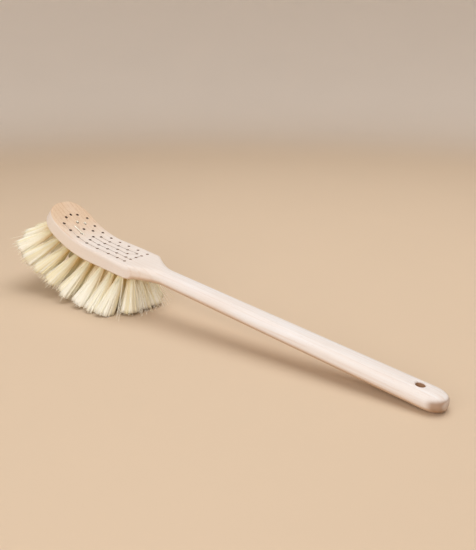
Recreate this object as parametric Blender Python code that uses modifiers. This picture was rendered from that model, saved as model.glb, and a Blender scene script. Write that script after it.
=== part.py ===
# Long-handled bathtub brush: a one-piece wooden head and handle, 41 fibre tufts drawn into stepped
# holes, and the single steel wire that is stitched along the top and holds every tuft by its fold.
# Metres, +Z up. The brush is modelled lying level, then an empty sets it down as it rests, on its
# rear tufts and the end of its handle. X runs from the nose to the handle's end.
import math

import bmesh
import bpy
from mathutils import Matrix, Vector

# head, measured along its top from the shoulder towards the nose
head_flat_length = 0.0510       # level part of the top
head_curve_radius = 0.1080      # radius of the hollow top in front of it
head_curve_length = 0.0735      # along that curve, up to the nose tip
nose_round_length = 0.0230      # where the plan outline closes
head_thickness = 0.0155
nose_half_width = 0.0212
waist_half_width = 0.0204
shoulder_half_width = 0.0222
waist_reach = 0.0550            # from the shoulder to the narrowest place
head_edge_radius = 0.0022
shoulder_thickness = 0.0124     # the underside rises towards the shoulder
thickness_reach = 0.1100        # from the shoulder to where the head has its full thickness
shoulder_round_radius = 0.0045  # of the shoulder's corner, in plan
heel_start = 0.0008             # where the crisp lower edge turns into the neck's round one
heel_length = 0.0045

# neck and handle
neck_length = 0.0310            # hollow curve from the shoulder into the handle
handle_length = 0.2935          # shoulder to end
neck_half_width = 0.0097
end_half_width = 0.0116
neck_thickness = 0.0120
neck_belly = 0.0010             # how much fuller the neck is underneath, halfway along
lower_rounding = 0.0058         # radius of the neck's lower edges
end_thickness = 0.0138
handle_end_round = 0.0130       # length of the rounded end
hanging_hole_radius = 0.0035
hanging_hole_setback = 0.0210   # from the end
hanging_hole_easing = 0.0008    # broken edge at both mouths

# stepped tuft holes
wire_hole_radius = 0.0011
tuft_hole_radius = 0.0027
wire_hole_depth = 0.0045
drill_point_height = 0.0007     # cone that the drill leaves at the step
outer_rows = 0.0136             # from the centre line to the long outer rows
inner_rows = 0.0066
rear_row_distance = 0.0100      # shoulder to the rear row
nose_margin = 0.01736           # from the foremost hole to the nose tip, along the top
nose_centre_reach = 0.0088      # how far the nose row's middle runs ahead of its ends
nose_side_reach = 0.0066
centre_row_start = 0.0118       # the middle row's first hole, ahead of the rear row
centre_row_gap = 0.01124        # from its last hole to the foremost one

# fan of the tufts
rear_row_lean = math.radians(-12)   # the rear row leans towards the handle
rear_lean = math.radians(7)     # the other rows, from their rear end to the nose
front_lean = math.radians(57)
outer_splay = math.radians(24)  # sideways, on the outer rows, outside the wood
drilled_splay = math.radians(4)
rear_fibre_length = 0.0390
front_fibre_length = 0.0440
standing_tilt = math.radians(6.86)  # the plane on which the rear tufts are trimmed
standing_height = 0.0463        # from that plane to the shoulder's top
tip_spread_limit = 0.0080
strand_radius = 0.00062
trim_variation_share = 0.07     # how much of its length a strand may fall short
tip_taper_share = 0.78
inner_ring_share, outer_ring_share = 0.405, 0.87   # of the room that a strand has across a root
floor_cut = 0.0005              # depth to which the tips that stand on the floor are cut flat

# packed root of a tuft, folded over the wire
fold_radius = 0.0018
fold_half_length = 0.0014
fold_depth = 0.0076             # from the top surface to the wire in the fold
fold_tunnel_radius = 0.00055
root_top_depth = 0.0084
root_reach = 0.0015             # past the middle of the hole's mouth

# wire
wire_radius = 0.00018
wire_leg_spread = 0.00042       # half the distance between the two legs in the small hole
wire_loop_spread = 0.00195      # the same round the fold
wire_loop_top_depth = 0.0056
wire_leg_bottom_depth = 0.0048

fit_gap = 0.0003                # between pieces that touch
overrun = 0.0020                # how far a cutter runs past a face
merge_distance = 0.00005

# counts and shares
section_corner_steps = 5
nose_angles_share = (0.93, 0.86, 0.77, 0.66, 0.53, 0.40, 0.26, 0.13, 0.0)
near_outer_shares = (0.0, 0.112, 0.249, 0.426, 0.599, 0.746, 0.881, 1.0)   # hand-drilled spacing
centre_row_shares = (0.0, 0.181, 0.426, 0.656, 0.853, 1.0)   # open spacing of the six middle holes
long_row_count = 8
near_row_count = 6
far_row_count = 7
inner_strands, outer_strands = 3, 7
root_sides = 12
drill_sides = 10
width_law = 1.2
thickness_law = 1.15
neck_law = 1.85
nose_law = 2.2
golden_share = 0.6180339887

head_top_length = head_flat_length + head_curve_length
tuft_hole_overrun = head_thickness * 1.35 + overrun
front_distance = head_top_length - nose_margin
hole_pitch = (front_distance - nose_centre_reach - rear_row_distance) / (long_row_count - 1)
centre_row_length = front_distance - centre_row_gap - centre_row_start - rear_row_distance


def clear_scene():
    for item in list(bpy.data.objects):
        bpy.data.objects.remove(item, do_unlink=True)


def new_collection(name):
    group = bpy.data.collections.new(name)
    bpy.context.scene.collection.children.link(group)
    return group


def new_material(name, colour, roughness, metallic=0.0):
    material = bpy.data.materials.new(name)
    material.use_nodes = True
    shader = material.node_tree.nodes["Principled BSDF"]
    shader.inputs["Base Color"].default_value = (*colour, 1.0)
    shader.inputs["Roughness"].default_value = roughness
    shader.inputs["Metallic"].default_value = metallic
    return material


def new_object(name, data, group, material=None):
    item = bpy.data.objects.new(name, data)
    group.objects.link(item)
    if material:
        data.materials.append(material)
    return item


def evaluated_mesh(item):
    bpy.context.view_layer.update()
    graph = bpy.context.evaluated_depsgraph_get()
    return bpy.data.meshes.new_from_object(item.evaluated_get(graph))


def ease(share):
    share = min(max(share, 0.0), 1.0)
    return share * share * (3 - 2 * share)


def blend(start, end, share):
    return start + (end - start) * share


# A point on the middle of the head's top, and the top's slope there.
def top_at(distance):
    if distance <= head_flat_length:
        return Vector((-distance, 0, 0)), 0.0
    slope = (distance - head_flat_length) / head_curve_radius
    return Vector((-head_flat_length - head_curve_radius * math.sin(slope), 0,
                   head_curve_radius * (1 - math.cos(slope)))), slope


def thickness_at(distance):
    share = min(max(distance / thickness_reach, 0.0), 1.0)
    return head_thickness - (head_thickness - shoulder_thickness) * (1 - share) ** thickness_law


# For a point in the wood: how far along the top it lies, and how deep below it.
def under_the_top(point):
    if point.x >= -head_flat_length:
        return -point.x, -point.z
    across, down = point.x + head_flat_length, point.z - head_curve_radius
    slope = math.atan2(-across, -down)
    return head_flat_length + head_curve_radius * slope, math.hypot(across, down) - head_curve_radius


# How deep a line from a point on the top runs before it leaves the underside. A level underside
# is the one that the tufts are trimmed from, before it rises towards the shoulder.
def depth_to_underside(start, direction, level=False):
    inside, outside = 0.0, head_thickness * 3
    for step in range(40):
        depth = (inside + outside) / 2
        distance, below = under_the_top(start + direction * depth)
        if below < (head_thickness if level else thickness_at(distance)):
            inside = depth
        else:
            outside = depth
    return inside


def head_half_width(distance):
    if distance < waist_reach:
        share = (waist_reach - distance) / waist_reach
        return blend(waist_half_width, shoulder_half_width, share ** width_law)
    reach = head_top_length - nose_round_length - waist_reach
    share = min((distance - waist_reach) / reach, 1.0)
    return blend(waist_half_width, nose_half_width, share ** width_law)


# One cross-section: a box with elliptical corners, as (y, z) from its middle.
def section_outline(half_width, half_height, upper_corner, lower_corner):
    points = []
    for quarter in range(4):
        side = 1 if quarter in (0, 3) else -1
        level = 1 if quarter in (0, 1) else -1
        corner_width, corner_height = upper_corner if level > 0 else lower_corner
        for step in range(section_corner_steps + 1):
            angle = math.pi / 2 * (quarter + step / section_corner_steps)
            points.append((side * (half_width - corner_width) + corner_width * math.cos(angle),
                           level * (half_height - corner_height) + corner_height * math.sin(angle)))
    return points


# Stations of the wooden body from nose to end: middle of the top, slope, half width, thickness,
# the inset that rounds the nose's edge, how far the section has turned into the handle's, and how
# far its lower edges have turned into the neck's.
def body_stations():
    stations = []
    start = head_top_length - nose_round_length
    for share in nose_angles_share:
        angle = math.pi / 2 * share
        distance = start + nose_round_length * math.sin(angle) ** (2 / nose_law)
        width = nose_half_width * math.cos(angle) ** (2 / nose_law)
        near_tip = max(head_edge_radius - (head_top_length - distance), 0.0)
        inset = head_edge_radius - math.sqrt(head_edge_radius ** 2 - near_tip ** 2)
        point, slope = top_at(distance)
        stations.append((point, slope, width, thickness_at(distance), inset, 0.0, 0.0))
    curve_steps, flat_steps, round_steps, heel_steps, neck_steps, handle_steps, end_steps = (
        6, 5, 3, 4, 6, 5, 7)
    # the shoulder's corner turns, in plan, into the neck's hollow curve
    turn = math.atan2((shoulder_half_width - neck_half_width) * neck_law, neck_length)
    round_length = shoulder_round_radius * math.sin(turn)
    for step in range(1, curve_steps + 1):
        distance = blend(start, head_flat_length, step / curve_steps)
        point, slope = top_at(distance)
        stations.append((point, slope, head_half_width(distance), thickness_at(distance), 0.0, 0.0,
                         0.0))
    for step in range(1, flat_steps + 1):
        distance = blend(head_flat_length, round_length, step / flat_steps)
        stations.append((Vector((-distance, 0, 0)), 0.0, head_half_width(distance),
                         thickness_at(distance), 0.0, 0.0, 0.0))
    for step in range(1, round_steps + 1):
        angle = turn * step / round_steps
        distance = round_length - shoulder_round_radius * math.sin(angle)
        corner_drop = shoulder_round_radius * (1 - math.cos(angle))
        stations.append((Vector((-distance, 0, 0)), 0.0, head_half_width(distance) - corner_drop,
                         thickness_at(distance), 0.0, 0.0, 0.0))
    # the neck: a hollow curve that meets the handle's side without a corner. At its start, the
    # heel, the crisp lower edge turns into a round one.
    drop = shoulder_half_width - corner_drop - neck_half_width
    heel_end = heel_start + heel_length
    reaches = [heel_start + heel_length * step / heel_steps for step in range(heel_steps + 1)]
    reaches += [blend(heel_end, neck_length, step / neck_steps) for step in range(1, neck_steps + 1)]
    for x in reaches:
        share = x / neck_length
        thickness = blend(shoulder_thickness, neck_thickness, ease(share))
        thickness += neck_belly * math.sin(math.pi * share)
        stations.append((Vector((x, 0, 0)), 0.0, neck_half_width + drop * (1 - share) ** neck_law,
                         thickness, 0.0, ease(share), ease((x - heel_start) / heel_length)))
    end_start = handle_length - handle_end_round
    for step in range(1, handle_steps + 1):
        share = step / handle_steps
        x = blend(neck_length, end_start, share)
        stations.append((Vector((x, 0, 0)), 0.0, blend(neck_half_width, end_half_width, share),
                         blend(neck_thickness, end_thickness, share), 0.0, 1.0, 1.0))
    for step in range(1, end_steps + 1):
        angle = math.radians(83) * step / end_steps
        x = end_start + handle_end_round * math.sin(angle)
        inset = end_thickness / 2 * (1 - math.cos(angle) ** 0.5)
        stations.append((Vector((x, 0, 0)), 0.0, end_half_width * math.cos(angle) ** 0.9,
                         end_thickness, inset, 1.0, 1.0))
    return stations


# The wooden body, lofted because its sections change from a flat slab to a rounded grip.
def body_mesh():
    shape = bmesh.new()
    rings = []
    for point, slope, half_width, thickness, inset, turn, lower_turn in body_stations():
        half_height = thickness / 2 - inset
        corners = []
        for radius in (head_edge_radius, blend(head_edge_radius, lower_rounding, lower_turn)):
            corners.append((blend(min(radius, half_width * 0.9), half_width * 0.80, turn),
                            blend(min(radius, half_height * 0.96), half_height * 0.96, turn)))
        up = Vector((math.sin(slope), 0, math.cos(slope)))
        outline = section_outline(half_width, half_height, *corners)
        rings.append([shape.verts.new(point + Vector((0, y, 0)) + up * (z - thickness / 2))
                      for y, z in outline])
    count = len(rings[0])
    for first, second in zip(rings, rings[1:]):
        for index in range(count):
            after = (index + 1) % count
            shape.faces.new((first[index], first[after], second[after], second[index]))
    shape.faces.new(rings[0])
    shape.faces.new(reversed(rings[-1]))
    bmesh.ops.recalc_face_normals(shape, faces=shape.faces)
    mesh = bpy.data.meshes.new("head_and_handle")
    shape.to_mesh(mesh)
    shape.free()
    return mesh


# A closed turned tool, from a profile that runs down its outer side.
def turned_mesh(name, profile, sides, group):
    curve = bmesh.new()
    points = [curve.verts.new((radius, 0, z)) for radius, z in profile]
    for first, second in zip(points, points[1:]):
        curve.edges.new((first, second))
    mesh = bpy.data.meshes.new(name)
    curve.to_mesh(mesh)
    curve.free()
    item = new_object(name, mesh, group)
    screw = item.modifiers.new("turn", "SCREW")
    screw.axis = "Z"
    screw.angle = math.tau
    screw.steps = screw.render_steps = sides
    screw.use_merge_vertices = True
    screw.merge_threshold = merge_distance
    result = evaluated_mesh(item)
    bpy.data.objects.remove(item, do_unlink=True)
    return result


def joined_copies(name, mesh, places, group):
    shape = bmesh.new()
    for place in places:
        start = len(shape.verts)
        shape.from_mesh(mesh)
        shape.verts.ensure_lookup_table()
        bmesh.ops.transform(shape, matrix=place, verts=shape.verts[start:])
    joined = bpy.data.meshes.new(name)
    shape.to_mesh(joined)
    shape.free()
    item = new_object(name, joined, group)
    item.hide_render = True
    item.display_type = "WIRE"
    return item


def cut(item, cutter):
    boolean = item.modifiers.new(cutter.name, "BOOLEAN")
    boolean.operation = "DIFFERENCE"
    boolean.solver = "EXACT"
    boolean.object = cutter


# The hole pattern, as name, distance ahead of the shoulder and place across the head, in the
# order in which the wire is stitched: round the edge, up the near row and back along the others.
def tuft_places():
    rear, pitch = rear_row_distance, hole_pitch
    front = rear + pitch * (long_row_count - 1)
    ring = [(blend(rear, front, share), -outer_rows) for share in near_outer_shares]
    ring += [(front + nose_centre_reach * 0.78, -nose_side_reach), (front + nose_centre_reach, 0.0),
             (front + nose_centre_reach * 0.78, nose_side_reach)]
    ring += [(rear + pitch * step, outer_rows) for step in reversed(range(long_row_count))]
    ring += [(rear, inner_rows), (rear, 0.0), (rear, -inner_rows)]
    places = [("tuft_outer_%02d" % (index + 1), *place) for index, place in enumerate(ring)]
    half = rear + pitch / 2
    places += [("tuft_near_row_%d" % (step + 1), half + pitch * step, -inner_rows)
               for step in range(near_row_count)]
    centre = [("tuft_centre_row_%d" % (step + 1), rear + centre_row_start + centre_row_length * share,
               0.0) for step, share in enumerate(centre_row_shares)]
    far = [("tuft_far_row_%d" % (step + 1), half + pitch * step, inner_rows)
           for step in range(far_row_count)]
    return places + centre[-1:] + far[::-1] + centre[:-1]


def height_after_tilt(point, tilt):
    return point.z * math.cos(tilt) - point.x * math.sin(tilt)


# Where every tuft sits: its frame has +Z out of the top of its hole and +X along the stitch.
def tuft_frames():
    frames = []
    places = tuft_places()
    points = []
    for name, distance, across in places:
        point, slope = top_at(distance)
        points.append(point + Vector((0, across, 0)))
    for index, (name, distance, across) in enumerate(places):
        share = (distance - rear_row_distance) / (front_distance - rear_row_distance)
        lean = blend(rear_lean, front_lean, share)
        if share == 0 and abs(across) < outer_rows:
            lean = rear_row_lean
        side = across / outer_rows
        down = Vector((-math.sin(lean), math.tan(drilled_splay) * side, -math.cos(lean))).normalized()
        splay = outer_splay * side
        outward = Vector((-math.sin(lean), math.tan(splay), -math.cos(lean))).normalized()
        before = points[max(index - 1, 0)]
        here = points[index]
        after = points[min(index + 1, len(points) - 1)]
        stitch = Vector((0, 0, 0))
        for step in (here - before, after - here):
            if step.length > 0:
                stitch += step.normalized()
        up = -down
        stitch = (stitch - up * stitch.dot(up)).normalized()
        turn = Matrix((stitch, up.cross(stitch), up)).transposed()
        place = Matrix.Translation(here) @ turn.to_4x4()
        root = depth_to_underside(here, down) + root_reach
        length = (blend(rear_fibre_length, front_fibre_length, share) - root
                  + depth_to_underside(here, down, level=True))
        start = standing_height + height_after_tilt(here + down * root, standing_tilt)
        length = min(length, start / -height_after_tilt(outward, standing_tilt))
        frames.append({"name": name, "place": place, "root": root, "length": length,
                       "outward": turn.transposed() @ outward, "point": here})
    return frames


# The root of a tuft with its strands, once, in a tuft's own frame. The places of its lower points
# are set for each tuft afterwards, so the lists say which points those are.
def tuft_master(group):
    bottom = -(head_thickness + root_reach)
    body = bmesh.new()
    height = -root_top_depth - bottom
    bmesh.ops.create_cone(body, cap_ends=True, segments=root_sides,
                          radius1=tuft_hole_radius - fit_gap, radius2=tuft_hole_radius - fit_gap,
                          depth=height, matrix=Matrix.Translation((0, 0, bottom + height / 2)))
    mesh = bpy.data.meshes.new("tuft_root")
    body.to_mesh(mesh)
    body.free()
    root = new_object("tuft_root", mesh, group)
    lying = Matrix.Translation((0, 0, -fold_depth)) @ Matrix.Rotation(math.pi / 2, 4, "Y")
    for name, radius, depth, operation in (
            ("fold", fold_radius, fold_half_length * 2, "UNION"),
            ("tunnel", fold_tunnel_radius, fold_radius * 4, "DIFFERENCE")):
        tool = bmesh.new()
        bmesh.ops.create_cone(tool, cap_ends=True, segments=root_sides if name == "fold" else 6,
                              radius1=radius, radius2=radius, depth=depth, matrix=lying)
        tool_mesh = bpy.data.meshes.new(name)
        tool.to_mesh(tool_mesh)
        tool.free()
        boolean = root.modifiers.new(name, "BOOLEAN")
        boolean.operation = operation
        boolean.solver = "EXACT"
        boolean.object = new_object(name, tool_mesh, group)
    shaped = evaluated_mesh(root)
    for modifier in list(root.modifiers):
        bpy.data.objects.remove(modifier.object, do_unlink=True)
    bpy.data.objects.remove(root, do_unlink=True)

    shape = bmesh.new()
    shape.from_mesh(shaped)
    lid = min(shape.faces, key=lambda face: face.calc_center_median().z)
    rim = list(lid.verts)
    edges = list(lid.edges)
    bmesh.ops.delete(shape, geom=[lid], context="FACES_ONLY")
    roots = []
    for centre, turn in strand_places():
        corners = [shape.verts.new((centre.x + strand_radius * math.cos(turn + math.tau * corner / 3),
                                    centre.y + strand_radius * math.sin(turn + math.tau * corner / 3),
                                    bottom)) for corner in range(3)]
        roots.append(shape.faces.new(reversed(corners)))
        edges += roots[-1].edges
    bmesh.ops.triangle_fill(shape, use_beauty=True, use_dissolve=False, edges=edges,
                            normal=(0, 0, -1))
    grown = bmesh.ops.extrude_discrete_faces(shape, faces=roots)["faces"]
    for face in grown:
        for vert in face.verts:
            vert.co.z -= front_fibre_length
    bmesh.ops.recalc_face_normals(shape, faces=shape.faces)
    shape.verts.index_update()
    strands = []
    for face in grown:
        pairs = []
        for tip in face.verts:
            top = [edge.other_vert(tip) for edge in tip.link_edges if edge.other_vert(tip) not in face.verts]
            start = min(top, key=lambda vert: (vert.co.xy - tip.co.xy).length)
            pairs.append((start.index, tip.index))
        strands.append(pairs)
    low = [vert.index for vert in rim] + [start for pairs in strands for start, tip in pairs]
    result = bpy.data.meshes.new("tuft")
    shape.to_mesh(result)
    shape.free()
    return result, low, strands


# Two rings of three-sided strands on the end of a root, each with a corner turned outwards.
def strand_places():
    places = []
    room = tuft_hole_radius - fit_gap - strand_radius
    for count, radius, offset in ((inner_strands, room * inner_ring_share, math.pi / 6),
                                  (outer_strands, room * outer_ring_share, 0.0)):
        for step in range(count):
            angle = math.tau * step / count + offset
            turn = angle + (math.pi if count == inner_strands else 0.0)
            places.append((Vector((radius * math.cos(angle), radius * math.sin(angle))), turn))
    return places


# How far a tuft's strands may spread before they would reach a neighbour's.
def tip_spread(frame, frames):
    def tip(item):
        return item["place"] @ (Vector((0, 0, -item["root"])) + item["outward"] * item["length"])
    here = tip(frame)
    room = min((tip(other) - here).length for other in frames if other is not frame)
    return min(tip_spread_limit, room / 2 - fit_gap)


# Points of one tuft in the level brush's frame: roots and tips of every strand corner.
def strand_lines(frame, frames, number):
    room = tuft_hole_radius - fit_gap - strand_radius
    spread = (tip_spread(frame, frames) - strand_radius) / room
    lines = []
    for index, (centre, turn) in enumerate(strand_places()):
        step = number * (inner_strands + outer_strands) + index
        short = trim_variation_share * ((step * golden_share) % 1.0)
        reach = frame["outward"] * frame["length"] * (1 - short)
        middle = Vector((centre.x, centre.y, -frame["root"]))
        tip = Vector((centre.x * spread, centre.y * spread, -frame["root"])) + reach
        corners = []
        for corner in range(3):
            angle = turn + math.tau * corner / 3
            offset = Vector((math.cos(angle), math.sin(angle), 0)) * strand_radius
            corners.append((middle + offset, tip + offset * tip_taper_share))
        lines.append(corners)
    return lines


# The tilt at which the handle's end and the rear tufts, cut flat, stand on one floor.
def resting_tilt(wood_points, tips):
    low, high = 0.0, math.radians(20)
    for step in range(40):
        tilt = (low + high) / 2
        wood = min(height_after_tilt(point, tilt) for point in wood_points)
        fibre = min(height_after_tilt(point, tilt) for point in tips)
        if wood - fibre > floor_cut:
            low = tilt
        else:
            high = tilt
    return tilt, min(height_after_tilt(point, tilt) for point in wood_points)


# The wire's way through one hole, in that tuft's frame: down, under the fold and up again.
def wire_loop():
    level = wire_radius + fit_gap
    way = [(wire_leg_spread, level), (wire_leg_spread, -wire_leg_bottom_depth),
           (wire_loop_spread, -wire_loop_top_depth), (wire_loop_spread, -fold_depth)]
    return [Vector((-x, 0, z)) for x, z in way] + [Vector((x, 0, z)) for x, z in reversed(way)]


def wire_curve(frames):
    points = []
    for index, frame in enumerate(frames):
        loop = wire_loop()
        tucked = -wire_hole_depth / 3
        if index == 0:
            loop[0].z = tucked
        if index == len(frames) - 1:
            loop[-1].z = tucked
        points += [frame["place"] @ point for point in loop]
    curve = bpy.data.curves.new("drawing_wire", "CURVE")
    curve.dimensions = "3D"
    curve.bevel_depth = wire_radius
    curve.bevel_resolution = 1
    curve.use_fill_caps = True
    spline = curve.splines.new("POLY")
    spline.points.add(len(points) - 1)
    for target, point in zip(spline.points, points):
        target.co = (*point, 1.0)
    return curve


clear_scene()
parts = new_collection("bathtub_brush")
guides = new_collection("cutters")
birch = new_material("birch", (0.74, 0.64, 0.53), 0.55)
fibre = new_material("tampico_fibre", (0.66, 0.57, 0.34), 0.75)
steel = new_material("drawn_steel_wire", (0.50, 0.50, 0.51), 0.35, 1.0)

rest = bpy.data.objects.new("rest_pose", None)
parts.objects.link(rest)

frames = tuft_frames()

wood = new_object("head_and_handle", body_mesh(), parts, birch)
wood_points = [vert.co.copy() for vert in wood.data.vertices]
drill = turned_mesh("drill", [(0, overrun), (wire_hole_radius, overrun),
                              (wire_hole_radius, -wire_hole_depth),
                              (tuft_hole_radius, -wire_hole_depth - drill_point_height),
                              (tuft_hole_radius, -tuft_hole_overrun), (0, -tuft_hole_overrun)],
                    drill_sides, guides)
cut(wood, joined_copies("tuft_holes", drill, [frame["place"] for frame in frames], guides))
share = (handle_length - hanging_hole_setback - neck_length) / (
    handle_length - handle_end_round - neck_length)
thickness_there = blend(neck_thickness, end_thickness, share)
flare = hanging_hole_radius + hanging_hole_easing + overrun
bore = turned_mesh("bore", [(0, overrun), (flare, overrun), (hanging_hole_radius, -hanging_hole_easing),
                            (hanging_hole_radius, hanging_hole_easing - thickness_there),
                            (flare, -thickness_there - overrun), (0, -thickness_there - overrun)],
                   24, guides)
cut(wood, joined_copies("hanging_hole", bore, [Matrix.Translation(
    (handle_length - hanging_hole_setback, 0, 0))], guides))

master, low_points, strand_points = tuft_master(guides)
all_lines = [strand_lines(frame, frames, number) for number, frame in enumerate(frames)]
tips = [frame["place"] @ tip for frame, lines in zip(frames, all_lines)
        for corners in lines for start, tip in corners]
tilt, floor = resting_tilt(wood_points, tips)

tufts = []
for frame, lines in zip(frames, all_lines):
    mesh = master.copy()
    mesh.name = frame["name"]
    for index in low_points:
        mesh.vertices[index].co.z = -frame["root"]
    for pairs, corners in zip(strand_points, lines):
        for start_index, tip_index in pairs:
            placed = mesh.vertices[start_index].co
            start, tip = min(corners, key=lambda ends: (ends[0].xy - placed.xy).length)
            above = height_after_tilt(frame["place"] @ start, tilt) - floor
            below = floor - height_after_tilt(frame["place"] @ tip, tilt)
            if below > 0:
                tip = start.lerp(tip, above / (above + below))
            mesh.vertices[tip_index].co = tip
    tuft = new_object(frame["name"], mesh, parts, fibre)
    tuft.matrix_local = frame["place"]
    tuft.parent = rest
    tufts.append(tuft)

wire = new_object("drawing_wire", wire_curve(frames), parts, steel)
for item in [wood, wire, *guides.objects]:
    item.parent = rest

for item in [wood] + tufts:
    item.data.shade_smooth()
    item.data.set_sharp_from_angle(angle=math.radians(35))

# set the brush down, with the middle of its footprint on the origin
settle = Matrix.Rotation(tilt, 4, "Y")
spots = [settle @ point for point in wood_points]
for tuft, frame in zip(tufts, frames):
    spots += [settle @ (frame["place"] @ vert.co) for vert in tuft.data.vertices]
middle = [(min(spot[axis] for spot in spots) + max(spot[axis] for spot in spots)) / 2
          for axis in range(2)]
rest.rotation_euler = (0, tilt, 0)
rest.location = (-middle[0], -middle[1], -floor)
bpy.context.view_layer.update()
print("tilt %.2f degrees, %d tufts, %d strands" % (
    math.degrees(tilt), len(tufts), len(tufts) * (inner_strands + outer_strands)))
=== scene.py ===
# Long-handled bathtub brush: birch head and handle, drawn fibre tufts, stitched wire.
import math
import random

import bmesh
import bpy
import numpy as np
from mathutils import Matrix, Vector


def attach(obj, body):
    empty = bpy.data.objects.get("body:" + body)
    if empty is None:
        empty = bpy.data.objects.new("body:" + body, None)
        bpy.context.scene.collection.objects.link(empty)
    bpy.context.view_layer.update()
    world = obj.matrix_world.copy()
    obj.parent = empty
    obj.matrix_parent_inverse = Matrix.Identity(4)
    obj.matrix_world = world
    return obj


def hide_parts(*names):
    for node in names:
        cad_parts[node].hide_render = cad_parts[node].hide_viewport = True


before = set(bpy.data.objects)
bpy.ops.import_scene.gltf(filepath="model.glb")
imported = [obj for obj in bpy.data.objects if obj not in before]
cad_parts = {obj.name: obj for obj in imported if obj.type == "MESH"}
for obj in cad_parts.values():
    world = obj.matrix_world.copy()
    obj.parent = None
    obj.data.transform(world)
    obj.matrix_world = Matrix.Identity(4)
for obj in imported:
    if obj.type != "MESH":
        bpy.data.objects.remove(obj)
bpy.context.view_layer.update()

# How the level brush is set down on its rear tufts and its handle's end.
resting = {
    "tilt": 0.12014910,
    "place": (-0.06580426, -0.00009512, 0.04765238),
}
setDown = Matrix.Translation(resting["place"]) @ Matrix.Rotation(resting["tilt"], 4, "Y")
print("frame loaded:", len(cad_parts), "nodes")


# Small helpers

def deselectAll():
    if bpy.context.object and bpy.context.object.mode != "OBJECT":
        bpy.ops.object.mode_set(mode="OBJECT")
    bpy.ops.object.select_all(action="DESELECT")


def pick(piece):
    deselectAll()
    piece.select_set(True)
    bpy.context.view_layer.objects.active = piece


def applyModifiers(piece):
    pick(piece)
    for modifier in list(piece.modifiers):
        bpy.ops.object.modifier_apply(modifier=modifier.name)


def join(pieces, name):
    deselectAll()
    for piece in pieces:
        piece.select_set(True)
    bpy.context.view_layer.objects.active = pieces[0]
    bpy.ops.object.join()
    pieces[0].name = name
    return pieces[0]


def newObject(name, data):
    thing = bpy.data.objects.new(name, data)
    bpy.context.scene.collection.objects.link(thing)
    return thing


def remove(piece):
    bpy.data.objects.remove(piece, do_unlink=True)


# A ring extruded to each of the next rings in turn, with both ends closed.
def extruded(rings):
    deselectAll()
    bpy.ops.mesh.primitive_circle_add(vertices=len(rings[0]), radius=1.0, fill_type="NGON")
    piece = bpy.context.object
    bpy.ops.object.mode_set(mode="EDIT")
    bpy.ops.mesh.select_mode(type="FACE")
    for number, ring in enumerate(rings):
        if number:
            bpy.ops.mesh.extrude_region_move()
        shape = bmesh.from_edit_mesh(piece.data)
        cap = next(face for face in shape.faces if face.select)
        for corner, place in zip(cap.loops, ring):
            corner.vert.co = place
        bmesh.update_edit_mesh(piece.data)
    bpy.ops.mesh.select_all(action="SELECT")
    bpy.ops.mesh.normals_make_consistent(inside=False)
    bpy.ops.object.mode_set(mode="OBJECT")
    return piece


# Turns a piece from the level brush's frame into its resting place and hands it to the frame.
def settle(piece, name, nodes):
    piece.name = name
    piece.data.name = name
    piece.data.transform(setDown @ piece.matrix_world)
    piece.matrix_world = Matrix.Identity(4)
    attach(piece, "root")
    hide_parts(*nodes)
    return piece


def blend(start, end, share):
    return start + (end - start) * share


def ease(share):
    share = min(max(share, 0.0), 1.0)
    return share * share * (3 - 2 * share)


# Shader maths as Python expressions: a socket that can be added, multiplied and so on

class Wired:
    def __init__(self, graph, socket):
        self.graph, self.socket = graph, socket

    def maths(self, operation, first, second):
        return self.graph.add("ShaderNodeMath", {"operation": operation}, {0: first, 1: second})

    def __add__(self, other): return self.maths("ADD", self, other)
    def __radd__(self, other): return self.maths("ADD", other, self)
    def __sub__(self, other): return self.maths("SUBTRACT", self, other)
    def __rsub__(self, other): return self.maths("SUBTRACT", other, self)
    def __mul__(self, other): return self.maths("MULTIPLY", self, other)
    def __rmul__(self, other): return self.maths("MULTIPLY", other, self)
    def __truediv__(self, other): return self.maths("DIVIDE", self, other)
    def __rtruediv__(self, other): return self.maths("DIVIDE", other, self)
    def __pow__(self, other): return self.maths("POWER", self, other)
    def __rpow__(self, other): return self.maths("POWER", other, self)


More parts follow.
